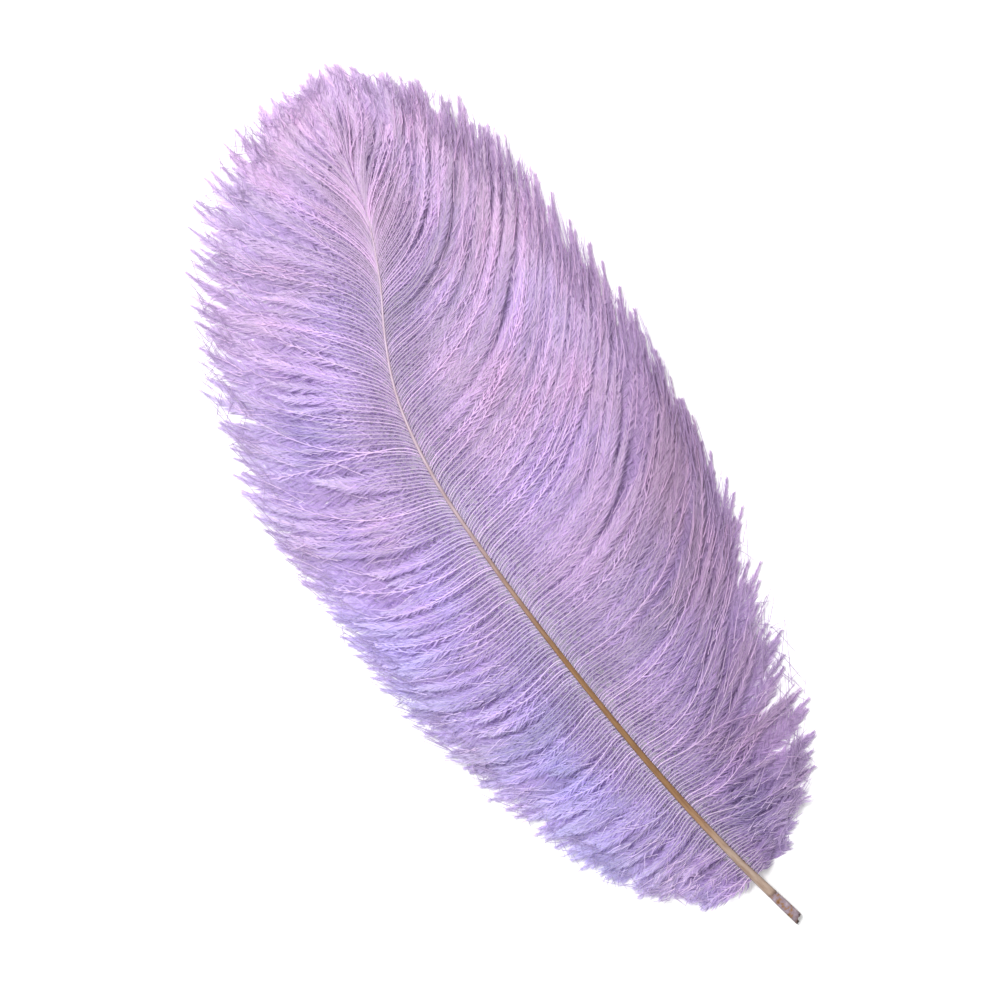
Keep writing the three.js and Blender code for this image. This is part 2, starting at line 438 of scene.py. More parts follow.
@dataclass(frozen=True)
class QuillFinish:
    """Horn-like keratin: golden brown rachis, beige quill, mottled grey-brown split end.

    It grew smooth and was never polished, so it has a satin gloss over fine streaks that run along it.
    mottled_share and rim_shares are shares of the shaft's length from the cut quill.
    """

    name: str = "quill_keratin"
    beige: str = "#A59081"
    sandy: str = "#9A7859"
    golden: str = "#85623D"
    tan: str = "#917669"
    rosy: str = "#AA969F"
    lilac: str = "#B6A2B8"
    # Painted shade: the shaft is darkened towards this colour along its left and right sides, where it
    # turns from the light.
    edge: str = "#80603F"
    streak: str = "#B39A86"
    speck: str = "#6B4A34"
    stained: str = "#8A6238"
    mottled: str = "#86747F"
    faded: str = "#A899A2"
    dark: str = "#452A24"
    bore: str = "#4A352F"
    mottled_share: float = 0.05
    rim_shares: tuple[float, float] = (0.0, 0.013)
    roughness: float = 0.42
    keratin_ior: float = 1.54

    def material(self) -> bpy.types.Material:
        """Make the material.

        Returns:
            A material that reads the piece's map, which runs around the shaft and along it.
        """
        made = bpy.data.materials.new(self.name)
        made.use_nodes = True
        tree = made.node_tree
        tree.nodes.clear()
        placed = node(tree, "ShaderNodeUVMap", {"uv_map": BAKE_MAP}).outputs[0]
        around_along = node(tree, "ShaderNodeSeparateXYZ", links={0: placed})
        around, along = around_along.outputs["X"], around_along.outputs["Y"]
        streaks = self._grain(tree, placed, (9.0, 40.0, 1.0), 4.0)
        colour = node(
            tree, "ShaderNodeValToRGB", links={0: along},
            stops={
                0.0: self.beige, 0.11: self.beige, 0.16: self.sandy, 0.21: self.golden,
                0.4: self.golden, 0.5: self.tan, 0.6: self.rosy, 0.8: self.lilac,
            },
        ).outputs[0]
        colour = self._stain_and_shade(tree, 0.7, colour, streaks, {0.3: self.streak, 0.6: WHITE})
        specks = self._grain(tree, placed, (14.0, 220.0, 1.0), 2.0)
        colour = self._stain_and_shade(tree, 0.8, colour, specks, {0.26: self.speck, 0.34: WHITE})
        # Painted shade along the shaft's left and right sides, and the bore's own dark colour on its
        # inner faces.
        side_shade_and_bore = {
            0.0: self.edge, 0.08: WHITE, 0.32: WHITE, 0.4: self.edge, 0.48: WHITE, 0.72: WHITE,
            0.8: self.edge, 0.85: self.bore,
        }
        blotches = self._grain(tree, placed, (3.0, 110.0, 1.0), 5.0)
        old = node(
            tree, "ShaderNodeValToRGB", links={0: blotches},
            stops={0.34: self.dark, 0.41: self.stained, 0.48: self.mottled, 0.64: self.faded},
        ).outputs[0]
        bare = node(
            tree, "ShaderNodeMapRange",
            {1: self.mottled_share, 2: 1.2 * self.mottled_share, 3: 1.0, 4: 0.0}, {0: along},
        )
        rim_start, rim_end = self.rim_shares
        rim = node(
            tree, "ShaderNodeMapRange", {1: rim_start, 2: rim_end, 3: 0.85, 4: 0.0}, {0: along},
        )
        colour = node(
            tree, "ShaderNodeMix", {"data_type": "RGBA"}, {0: bare.outputs[0], 6: colour, 7: old},
        ).outputs[2]
        colour = self._stain_and_shade(tree, 0.85, colour, around, side_shade_and_bore)
        colour = node(
            tree, "ShaderNodeMix", {"data_type": "RGBA", 7: linear(self.dark)},
            {0: rim.outputs[0], 6: colour},
        ).outputs[2]
        ridges = node(tree, "ShaderNodeBump", {"Strength": 0.25, "Distance": 0.0001}, {"Height": streaks})
        surface = node(
            tree, "ShaderNodeBsdfPrincipled", {"Roughness": self.roughness, "IOR": self.keratin_ior},
            {"Base Color": colour, "Normal": ridges.outputs[0]},
        )
        node(tree, "ShaderNodeOutputMaterial", links={0: surface.outputs[0]})
        return made

    @staticmethod
    def _grain(
        tree: bpy.types.NodeTree, placed: bpy.types.NodeSocket, scale: tuple, detail: float,
    ) -> bpy.types.NodeSocket:
        """Draw the keratin's grain, which runs along the shaft.

        Args:
            tree: the material's node tree.
            placed: the map's output.
            scale: cells around the shaft and along the whole of it.
            detail: how many finer octaves there are.

        Returns:
            The grain, about 0.3 to 0.7.
        """
        stretched = node(tree, "ShaderNodeMapping", {"Scale": scale}, {"Vector": placed})
        return node(
            tree, "ShaderNodeTexNoise", {"Scale": 1.0, "Detail": detail, "Roughness": 0.6},
            {"Vector": stretched.outputs[0]},
        ).outputs["Fac"]

    @staticmethod
    def _stain_and_shade(
        tree: bpy.types.NodeTree, share: float, under: bpy.types.NodeSocket,
        pattern: bpy.types.NodeSocket, stops: dict[float, str],
    ) -> bpy.types.NodeSocket:
        """Darken a colour with a coloured pattern.

        Args:
            tree: the material's node tree.
            share: how strongly the pattern shows.
            under: the colour below.
            pattern: the output that drives the pattern's colours.
            stops: the pattern's hex colours by place.

        Returns:
            The darkened colour.
        """
        over = node(tree, "ShaderNodeValToRGB", links={0: pattern}, stops=stops).outputs[0]
        return node(
            tree, "ShaderNodeMix", {"data_type": "RGBA", "blend_type": "MULTIPLY", 0: share},
            {6: under, 7: over},
        ).outputs[2]


@dataclass(frozen=True)
class TableFinish:
    """Matt white card that the plume lies on."""

    name: str = "white_card"
    colour: str = "#F4F4F4"
    roughness: float = 0.9

    def material(self) -> bpy.types.Material:
        """Make the material.

        Returns:
            A plain material.
        """
        made = bpy.data.materials.new(self.name)
        made.use_nodes = True
        surface = made.node_tree.nodes["Principled BSDF"]
        surface.inputs["Base Color"].default_value = linear(self.colour)
        surface.inputs["Roughness"].default_value = self.roughness
        return made


# ---- The shaft ------------------------------------------------------------------------------------


@dataclass
class ShaftLine:
    """The shaft's centre line, its arch over the table and its width.

    widths holds pairs: a share of the length from the cut quill, and the radius there.
    """

    plan: tuple = (
        (27.5, -187.5), (17, -154.5), (6.5, -114), (-5, -56), (-12.3, -9), (-16, 30),
        (-14, 61), (-7.6, 83), (1.2, 104), (8.2, 126.5), (12, 148.8),
    )
    widths: tuple = (
        (0, 2.05), (0.03, 2.0), (0.046, 1.74), (0.1, 1.5), (0.29, 1.15), (0.45, 0.95), (0.65, 0.68),
        (1, 0.24),
    )
    lying_height: float = 1.6
    arch: float = 14.0
    tip_lift: float = 1.5
    bare_quill: float = 24.0

    def __post_init__(self) -> None:
        """Draw the line once and measure it."""
        points = smooth_line(np.array(self.plan, float), 80, 0.5)
        steps = np.linalg.norm(np.diff(points, axis=0), axis=1)
        self._run = np.concatenate([[0], np.cumsum(steps)])
        self._points = points
        self.length = float(self._run[-1])
        self.bare_share = self.bare_quill / self.length

    def at(self, share: Array) -> Array:
        """Points of the line at shares of its length.

        Args:
            share: 0 at the cut quill, 1 at the rachis tip.

        Returns:
            One point a row, with its height over the table.
        """
        share = np.atleast_1d(np.asarray(share, float))
        x = np.interp(share * self.length, self._run, self._points[:, 0])
        y = np.interp(share * self.length, self._run, self._points[:, 1])
        z = self.lying_height + self.arch * np.sin(np.pi * share) + self.tip_lift * share
        return np.stack([x, y, z], 1)

    def along(self, share: Array) -> Array:
        """Find the line's directions.

        Args:
            share: 0 at the cut quill, 1 at the rachis tip.

        Returns:
            One unit vector a row, towards the tip.
        """
        share = np.atleast_1d(np.asarray(share, float))
        reach = 0.006
        return unit(self.at(np.minimum(share + reach, 1)) - self.at(np.maximum(share - reach, 0)))

    def radius(self, share: Array) -> Array:
        """Read half the shaft's width at shares of its length."""
        places, radii = zip(*self.widths)
        return np.interp(share, places, radii)

    def places(self, points: Array, samples: int = 1200) -> tuple[Array, Array, Array]:
        """Find where points lie along, around and off the line.

        Args:
            points: points in millimetres, one a row.
            samples: how many points of the line they are compared with.

        Returns:
            The share of the length, the turn (0 on the right, a quarter on top) and the distance
            from the line in shaft radii, for each point.
        """
        shares = np.linspace(0, 1, samples)
        centres = self.at(shares)
        nearest = ((points[:, None, :] - centres[None]) ** 2).sum(2).argmin(1)
        along = self.along(shares[nearest])
        right = unit(np.stack([along[:, 1], -along[:, 0], np.zeros(len(points))], 1))
        off = points - centres[nearest]
        turn = np.arctan2(off[:, 2], (off * right).sum(1)) / (2 * np.pi) % 1
        return shares[nearest], turn, np.linalg.norm(off, axis=1) / self.radius(shares[nearest])


@dataclass(frozen=True)
class Ring:
    """One ring of a drawn-out tube: its centre, its heading in the plane and its half sizes."""

    centre: tuple[float, float, float]
    heading: float
    half_width: float
    half_height: float


def rings_along(line: ShaftLine, shares: Array, radii: Array, heights: Array) -> list[Ring]:
    """Lay a tube's rings out along the shaft's line.

    Args:
        line: the shaft's line.
        shares: where the rings stand along it.
        radii: half the width of each ring.
        heights: the height of each ring, as a share of its width.

    Returns:
        One ring for each share.
    """
    return [
        Ring(tuple(centre), math.atan2(-way[0], way[1]), radius, radius * height)
        for centre, way, radius, height in zip(line.at(shares), line.along(shares), radii, heights)
    ]


def draw_out(name: str, rings: list[Ring], sides: int) -> bpy.types.Object:
    """Draw a closed tube out of a flat disc, ring by ring.

    Args:
        name: the piece's name.
        rings: the tube's rings in order. A heading is in radians, counter-clockwise from +Y.
        sides: how many corners a ring has.

    Returns:
        The tube, at the origin.
    """
    bpy.ops.object.select_all(action="DESELECT")
    bpy.ops.mesh.primitive_circle_add(vertices=sides, radius=MM, fill_type="NGON")
    tube = bpy.context.object
    tube.name = tube.data.name = name
    first = rings[0]
    start = Vector(first.centre) * MM
    bpy.ops.object.mode_set(mode="EDIT")
    bpy.ops.mesh.select_all(action="SELECT")
    bpy.ops.transform.rotate(value=math.pi / 2, orient_axis="X", center_override=(0, 0, 0))
    bpy.ops.transform.resize(value=(first.half_width, 1, first.half_height), center_override=(0, 0, 0))
    bpy.ops.transform.rotate(value=-first.heading, orient_axis="Z", center_override=(0, 0, 0))
    bpy.ops.transform.translate(value=start)
    for before, after in zip(rings, rings[1:]):
        start, end = Vector(before.centre) * MM, Vector(after.centre) * MM
        wider, taller = after.half_width / before.half_width, after.half_height / before.half_height
        bpy.ops.mesh.extrude_region_move(TRANSFORM_OT_translate={"value": end - start})
        bpy.ops.transform.rotate(
            value=before.heading - after.heading, orient_axis="Z", center_override=end,
        )
        bpy.ops.transform.resize(value=(wider, wider, taller), center_override=end)
    bpy.ops.mesh.select_all(action="SELECT")
    bpy.ops.mesh.normals_make_consistent(inside=False)
    bpy.ops.object.mode_set(mode="OBJECT")
    return tube


def cut_away(piece: bpy.types.Object, cutter: bpy.types.Object) -> None:
    """Cut one object out of another and throw the cutter away.

    Args:
        piece: the object that is cut.
        cutter: a closed object that covers what has to go.
    """
    select_only(piece)
    cut = piece.modifiers.new("cut", "BOOLEAN")
    cut.object = cutter
    cut.operation = "DIFFERENCE"
    bpy.ops.object.modifier_apply(modifier=cut.name)
    bpy.ops.object.select_all(action="DESELECT")
    cutter.select_set(True)
    bpy.ops.object.delete()


@dataclass(frozen=True)
class RaggedBlock:
    """A rough block that breaks a tube off along a splintered, slanting face."""

    size: float = 9.0
    cuts: int = 10
    roughness: float = 1.15
    lean_degrees: float = 30.0
    seed: int = 4

    def through(self, piece: bpy.types.Object, centre: Vector, heading: float) -> None:
        """Break the start of a tube off.

        Args:
            piece: the tube.
            centre: where the tube's middle breaks, in metres.
            heading: the tube's heading, in radians from +Y.
        """
        bpy.ops.object.select_all(action="DESELECT")
        bpy.ops.mesh.primitive_cube_add(size=self.size * MM)
        block = bpy.context.object
        bpy.ops.object.mode_set(mode="EDIT")
        bpy.ops.mesh.select_all(action="SELECT")
        bpy.ops.mesh.subdivide(number_cuts=self.cuts)
        bpy.ops.transform.vertex_random(offset=self.roughness * MM, seed=self.seed)
        bpy.ops.object.mode_set(mode="OBJECT")
        turn = heading + math.radians(self.lean_degrees)
        back = Vector((math.sin(turn), -math.cos(turn), 0))
        block.location = centre + back * (self.size / 2 * MM)
        block.rotation_euler = (0, 0, turn)
        cut_away(piece, block)


@dataclass(frozen=True)
class SplitWedge:
    """A narrow wedge that splits the dry quill along its upper left side.

    set_in is how far up the quill its middle stands, in shares of its length, and dip_degrees is how
    far it lies down from upright.
    """

    length: float = 27.0
    half_width: float = 0.45
    off_centre: float = -1.6
    level: float = 0.6
    set_in: float = 0.3
    dip_degrees: float = 87.0

    def through(self, piece: bpy.types.Object, ring: Ring) -> None:
        """Split the start of a tube open.

        Args:
            piece: the tube.
            ring: the tube's first ring.
        """
        along = Vector((-math.sin(ring.heading), math.cos(ring.heading), 0))
        right = Vector((along.y, -along.x, 0))
        bpy.ops.object.select_all(action="DESELECT")
        bpy.ops.mesh.primitive_cone_add(
            vertices=6, radius1=self.half_width * MM, radius2=0.0, depth=self.length * MM,
        )
        wedge = bpy.context.object
        raised = Vector(ring.centre) + Vector((0, 0, self.level * ring.half_height))
        side = raised + right * self.off_centre
        wedge.location = (side + along * (self.set_in * self.length)) * MM
        wedge.rotation_euler = (math.radians(-self.dip_degrees), 0, ring.heading)
        cut_away(piece, wedge)


@dataclass
class Shaft:
    """The quill and the rachis, drawn out of one ring as a single grown piece.

    squash is the quill's height as a share of its width at the cut end, and squashed_share how far up
    the shaft it goes. A crowding over 1 sets the rings closer together near the quill. It is broken
    off at broken_share, and its bore narrows to bore_taper of its size at the far end.
    """

    line: ShaftLine
    material: bpy.types.Material
    sides: int = 20
    stations: int = 84
    crowding: float = 1.3
    squash: float = 0.62
    squashed_share: float = 0.09
    broken_share: float = 0.004
    wall: float = 0.4
    bore_depth: float = 15.0
    bore_taper: float = 0.6
    groove: float = 0.22
    groove_shares: tuple[float, float] = (0.12, 0.8)
    name: str = "shaft_keratin"

    def build(self) -> bpy.types.Object:
        """Model and dress the shaft.

        Returns:
            The finished piece.
        """
        shares = np.linspace(0, 1, self.stations) ** self.crowding
        heights = 1 - (1 - self.squash) * (1 - ease(0, self.squashed_share, shares))
        rings = rings_along(self.line, shares, self.line.radius(shares), heights)
        piece = draw_out(self.name, rings, self.sides)
        self._hollow(piece, rings[0])
        self._fold_groove(piece)
        SplitWedge().through(piece, rings[0])
        broken = Vector(self.line.at(self.broken_share)[0]) * MM
        RaggedBlock().through(piece, broken, rings[0].heading)
        finish_tube(piece, self.line, self.material)
        return piece

    def _hollow(self, piece: bpy.types.Object, ring: Ring) -> None:
        """Bore the quill from its cut end.

        Args:
            piece: the tube.
            ring: its first ring.
        """
        centre = Vector(ring.centre) * MM
        away = np.array([(face.center - centre).length for face in piece.data.polygons])
        pick_out(piece, "FACE", np.arange(len(away)) == away.argmin())
        along = Vector(self.line.at(self.bore_depth / self.line.length)[0]) * MM - centre
        bpy.ops.mesh.inset(thickness=self.wall * MM)
        bpy.ops.mesh.extrude_region_move(TRANSFORM_OT_translate={"value": along})
        bpy.ops.transform.resize(value=(self.bore_taper,) * 3, center_override=centre + along)
        bpy.ops.object.mode_set(mode="OBJECT")

    def _fold_groove(self, piece: bpy.types.Object) -> None:
        """Push the rachis's underside in along its middle, as it grows.

        Args:
            piece: the tube.
        """
        points = np.array([vertex.co for vertex in piece.data.vertices]) / MM
        share, turn, off = self.line.places(points)
        low, high = self.groove_shares
        lowest = abs(turn - 0.75) < 0.3 / self.sides
        pick_out(piece, "VERT", lowest & (share > low) & (share < high) & (off > 0.5))
        bpy.ops.transform.translate(value=(0, 0, self.groove * MM))
        bpy.ops.object.mode_set(mode="OBJECT")


def map_around(piece: bpy.types.Object, line: ShaftLine) -> None:
    """Map a tube around and along the shaft's line, with its bore beside its outer side.

    Args:
        piece: the tube.
        line: the shaft's line.
    """
    mesh = piece.data
    points = np.array([vertex.co for vertex in mesh.vertices]) / MM
    share, turn, _ = line.places(points)
    corners = corner_vertices(mesh)
    around, along = turn[corners], share[corners]
    middles = np.array([face.center for face in mesh.polygons]) / MM
    axis = line.at(line.places(middles)[0])
    facing = (np.array([face.normal for face in mesh.polygons]) * (middles - axis)).sum(1)
    for face, outwards in zip(mesh.polygons, facing):
        span = slice(face.loop_start, face.loop_start + face.loop_total)
        turns = around[span]
        if np.ptp(turns) > 0.5:
            turns = np.where(turns < 0.5, turns + 1, turns)
        around[span] = OUTER_SHARE * turns if outwards >= 0 else BORE_START + BORE_SHARE * turns
    corner_places(mesh, np.stack([around, along], 1))


def finish_tube(piece: bpy.types.Object, line: ShaftLine, material: bpy.types.Material) -> None:
    """Map, smooth and dress a tube of the shaft, and hand it over.

    Args:
        piece: the tube.
        line: the shaft's line.
        material: its finish.
    """
    map_around(piece, line)
    select_only(piece)
    bpy.ops.object.shade_smooth_by_angle(angle=math.radians(SMOOTH_DEGREES))
    hand_over(piece, material, "shaft")


@dataclass
class Sheath:
    """The dry papery skin around the quill, peeled back to a ragged edge.

    shares are where it starts and ends along the shaft, and torn_share how much is torn off its start,
    in shares of the shaft.
    """

    line: ShaftLine
    material: bpy.types.Material
    sides: int = 20
    shares: tuple[float, float] = (0.036, 0.135)
    stations: int = 9
    radii: tuple[float, float] = (1.92, 1.34)
    squash: float = 0.84
    torn_share: float = 0.008
    name: str = "quill_sheath"

    def build(self) -> bpy.types.Object:
        """Model and dress the sheath.

        Returns:
            The finished piece.
        """
        shares = np.linspace(*self.shares, self.stations)
        radii = np.linspace(*self.radii, self.stations)
        heights = np.linspace(self.squash, 1, self.stations)
        rings = rings_along(self.line, shares, radii, heights)
        piece = draw_out(self.name, rings, self.sides)
        edge = Vector(self.line.at(self.shares[0] + self.torn_share)[0]) * MM
        RaggedBlock(roughness=0.6, lean_degrees=-14.0, seed=9).through(piece, edge, rings[0].heading)
        finish_tube(piece, self.line, self.material)
        return piece


# ---- The vanes ------------------------------------------------------------------------------------


@dataclass(frozen=True)
class VaneShape:
    """Where the barbs of one side lie.

    tips holds where barb tips lie at even steps from the quill to the tip of the plume. root_angles
    are between the shaft and the barbs, in degrees, at the quill, at 0.5 and at 0.8 of the vane, and
    tip_angles between +Y and the barbs' tips at the quill, at 0.3 and at the plume's tip. handles are
    the shares of a barb's length over which it keeps its direction at its root and at its tip.
    stray_reach is how far the longest stray barbs go, in barb lengths.
    """

    side: Side
    tips: tuple
    root_angles: tuple
    tip_angles: tuple
    handles: tuple
    node: str
    seed: int
    stray_reach: float


LEFT_SHAPE = VaneShape(
    side=Side.LEFT,
    tips=(
        (-1, -170), (-27, -147), (-46, -112), (-62, -72), (-72, -33), (-79, 10), (-82.5, 57),
        (-74, 112), (-53, 156), (-17, 180.5), (19.2, 187.5),
    ),
    root_angles=(130, 98, 34),
    tip_angles=(118, 60, 6),
    handles=(0.31, 0.45),
    node="left_vane",
    seed=11,
    stray_reach=1.07,
)
RIGHT_SHAPE = VaneShape(
    side=Side.RIGHT,
    tips=(
        (36.5, -163.5), (66, -130), (80.5, -54), (82.5, -2), (82, 42), (78, 78), (72.5, 107),
        (66, 130), (58, 151), (44, 170), (20.6, 187.5),
    ),
    root_angles=(132, 90, 66),
    tip_angles=(108, 16, 26),
    handles=(0.3, 0.5),
    node="right_vane",
    seed=23,
    stray_reach=1.05,
)


@dataclass
class FlowField:
    """The smooth sheet of flow lines that the barbs of one vane follow.

    landing is the share of a barb's length over which it comes down to the table. From the share
    closing of the vane on, barbs close up along the shaft's own direction. resting_heights are the
    heights of the sheet over the table at the landing and at the tips. Each barb leaves the shaft
    closer to it, and over its first curl_run it bends away, which carries it curl towards the tip.
    Barbs are rooted in the shaft's side, rooted of its radius from its middle. The angle shares are
    where along the vane the shape's angles hold, and furthest is the longest reach that is read.
    """

    line: ShaftLine
    shape: VaneShape
    rows: int = 401
    columns: int = 81
    landing: float = 2 / 3
    closing: float = 0.8
    resting_heights: tuple[float, float] = (2.2, 1.0)
    curl: float = 2.6
    curl_run: float = 3.2
    rooted: float = 0.8
    root_angle_shares: tuple[float, float, float] = (0, 0.5, 0.8)
    tip_angle_shares: tuple[float, float, float] = (0, 0.3, 1)
    furthest: float = 1.2

    def __post_init__(self) -> None:
        """Lay out the flow lines."""
        share = np.linspace(0, 1, self.rows)
        on_shaft = self.line.bare_share + share * (1 - self.line.bare_share)
        side = self.shape.side.value
        forward = unit(self.line.along(on_shaft) * (1, 1, 0))
        right = np.stack([forward[:, 1], -forward[:, 0], np.zeros(self.rows)], 1)
        root = self.line.at(on_shaft)
        self.root_height = root[:, 2].copy()
        root = root + right * (side * self.rooted * self.line.radius(on_shaft))[:, None]
        root[:, 2] = 0
        outline = smooth_line(np.array(self.shape.tips, float), 100, 0)
        place = share * (len(outline) - 1)
        tip = np.stack([np.interp(place, np.arange(len(outline)), outline[:, k]) for k in (0, 1)], 1)
        tip = np.column_stack([tip, np.zeros(self.rows)])
        open_share = 1 - ease(self.closing, 1, share)
        opening = np.interp(share, self.root_angle_shares, self.shape.root_angles)
        leaving = self._turned(forward, opening * open_share)
        lean = np.interp(share, self.tip_angle_shares, self.shape.tip_angles) * open_share
        start = np.where(open_share[:, None] > 0, np.array([[0.0, 1.0, 0.0]]), forward)
        arriving = self._turned(start, lean)
        chord = np.linalg.norm(tip - root, axis=1, keepdims=True)
        t = np.linspace(0, 1, self.columns)[None, :, None]
        near = (root + leaving * chord * self.shape.handles[0])[:, None]
        far = (tip - arriving * chord * self.shape.handles[1])[:, None]
        self.grid = (
            root[:, None] * (1 - t) ** 3 + 3 * near * t * (1 - t) ** 2
            + 3 * far * t**2 * (1 - t) + tip[:, None] * t**3
        )
        curl = self.curl * (1 - np.exp(-chord[:, None] * t / self.curl_run))
        self.grid += forward[:, None] * curl * open_share[:, None, None]

    def _turned(self, direction: Array, degrees: Array) -> Array:
        """Turn level directions towards this vane's side.

        Args:
            direction: level unit vectors, one a row.
            degrees: how far to turn each of them.

        Returns:
            The turned vectors.
        """
        angle = np.radians(degrees) * -self.shape.side.value
        x = direction[:, 0] * np.cos(angle) - direction[:, 1] * np.sin(angle)
        y = direction[:, 0] * np.sin(angle) + direction[:, 1] * np.cos(angle)
        return np.stack([x, y, np.zeros(len(x))], 1)

    def at(self, share: Array, reach: Array) -> Array:
        """Read the sheet.

        Args:
            share: place along the vane, 0 to 1, any shape.
            reach: place along the barb, 0 at the shaft to 1 at its tip, the same shape.

        Returns:
            Points on the table plane, with three numbers on a new last axis.
        """
        u = np.clip(share, 0, 1) * (self.rows - 1)
        v = np.clip(reach, 0, self.furthest) * (self.columns - 1)
        i = np.minimum(u.astype(int), self.rows - 2)
        j = np.minimum(v.astype(int), self.columns - 2)
        fu, fv = (u - i)[..., None], (v - j)[..., None]
        grid = self.grid
        low = grid[i, j] * (1 - fv) + grid[i, j + 1] * fv
        high = grid[i + 1, j] * (1 - fv) + grid[i + 1, j + 1] * fv
        return low * (1 - fu) + high * fu

    def height(self, share: Array, reach: Array) -> Array:
        """Find the height of the vane's middle layer over the table.

        Args:
            share: place along the vane, as for at().
            reach: place along the barb, as for at().

        Returns:
            Heights in millimetres, the same shape.
        """
        u = np.clip(share, 0, 1) * (self.rows - 1)
        root = np.interp(u, np.arange(self.rows), self.root_height)
        drop = ease(0, self.landing, reach)
        inner, outer = self.resting_heights
        return root * (1 - drop) + (inner + (outer - inner) * reach) * drop


@dataclass
class Fibres:
    """Mesh arrays of many thin fibres, joined into one mesh.

    quads and triangles hold vertex numbers. Every other array has one row for each vertex: its point,
    the number of its barb, its tint, its place on the hair colour ramp (painted shade at barbule roots,
    painted highlight at their tips), its depth, which is painted shade where it lies under others, its
    place across its barb's strip of the map, and its place along the barb.
    """

    points: Array
    quads: Array
    triangles: Array
    barb: Array
    tint: Array
    hair: Array
    depth: Array
    across: Array
    reach: Array

    @classmethod
    def joined(cls, parts: list["Fibres"]) -> "Fibres":
        """Join sets of fibres.

        Args:
            parts: the sets, in order.

        Returns:
            One set.
        """
        starts = np.cumsum([0] + [len(part.points) for part in parts[:-1]])
        rows = {}
        for item in fields(cls):
            values = [getattr(part, item.name) for part in parts]
            if item.name in ("quads", "triangles"):
                values = [numbers + start for numbers, start in zip(values, starts)]
            rows[item.name] = np.concatenate(values)
        return cls(**rows)

    def piece(self, name: str, barbs: int) -> bpy.types.Object:
        """Make an object of the fibres.

        Args:
            name: the piece's name.
            barbs: how many strips the map is shared out to.

        Returns:
            The new object, at the origin.
        """
        kinds = [kind for kind in (self.quads, self.triangles) if len(kind)]
        corners = np.concatenate([kind.ravel() for kind in kinds]).astype(np.int32)
        sizes = np.concatenate([np.full(len(kind), kind.shape[1], np.int32) for kind in kinds])
        starts = np.concatenate([[0], np.cumsum(sizes)[:-1]]).astype(np.int32)
        mesh = bpy.data.meshes.new(name)
        mesh.vertices.add(len(self.points))
        mesh.vertices.foreach_set("co", (self.points * MM).astype(np.float32).ravel())
        mesh.loops.add(len(corners))
        mesh.loops.foreach_set("vertex_index", corners)
        mesh.polygons.add(len(sizes))
        mesh.polygons.foreach_set("loop_start", starts)
        mesh.polygons.foreach_set("loop_total", sizes)
        mesh.polygons.foreach_set("use_smooth", np.ones(len(sizes), bool))
        mesh.update(calc_edges=True)
        for key in ("tint", "hair", "depth"):
            point_values(mesh, key, getattr(self, key))
        strip = (self.barb + 0.5 + 0.45 * self.across) / barbs
        corner_places(mesh, np.stack([strip, self.reach], 1)[corners])
        piece = bpy.data.objects.new(name, mesh)
        bpy.context.scene.collection.objects.link(piece)
        return piece


@dataclass
class Barbs:
    """Barbs side by side: their middle lines, and what tells one from the next.

    depth is 0 for a barb on top and 1 for one underneath, which is dressed as the layer below and drawn
    darker as painted shade. cover is how fully it is dressed with barbules, from 0 to 1. comb is how much
    longer than elsewhere a barb stays sparsely dressed. With a comb of 1, its dressing fills out between
    the two comb_ends, in millimetres from the shaft. Its pointed tip begins between the two tip_starts,
    in shares of its length.
    """

    lines: Array
    tint: Array
    depth: Array
    cover: Array
    comb: Array

    comb_ends: ClassVar[tuple[float, float]] = (7, 26)
    tip_starts: ClassVar[tuple[float, float]] = (0.5, 0.94)

    def part(self, first: int, last: int) -> "Barbs":
        """Take neighbouring barbs out of the set."""
        span = slice(first, last)
        return Barbs(*(getattr(self, item.name)[span] for item in fields(Barbs)))

    @property
    def lengths(self) -> Array:
        """Length of each barb."""
        return np.linalg.norm(np.diff(self.lines, axis=1), axis=2).sum(1)

    def at(self, barb: Array, share: Array) -> tuple[Array, Array]:
        """Read points and directions of the barbs.

        Args:
            barb: number of each barb that is read.
            share: where along it, 0 at the shaft to 1 at its tip.

        Returns:
            The points, and the directions towards the tip, one a row.
        """
        stations = self.lines.shape[1]
        place = np.interp(share, station_shares(stations), np.arange(stations))
        low = np.minimum(place.astype(int), stations - 2)
        part = (place - low)[:, None]
        before, after = self.lines[barb, low], self.lines[barb, low + 1]
        return before * (1 - part) + after * part, unit(after - before)

    def zones(self, barb: Array, share: Array) -> Array:
        """Weigh the comb near the shaft, the mat midway and the pointed tip against each other.

        Args:
            barb: number of each barb.
            share: where along it.

        Returns:
            Three weights a row that add up to 1.
        """
        dressed = ease(*self.comb_ends, share * self.lengths[barb] / self.comb[barb])
        outer = ease(*self.tip_starts, share)
        return np.stack([(1 - dressed) * (1 - outer), dressed * (1 - outer), outer], 1)


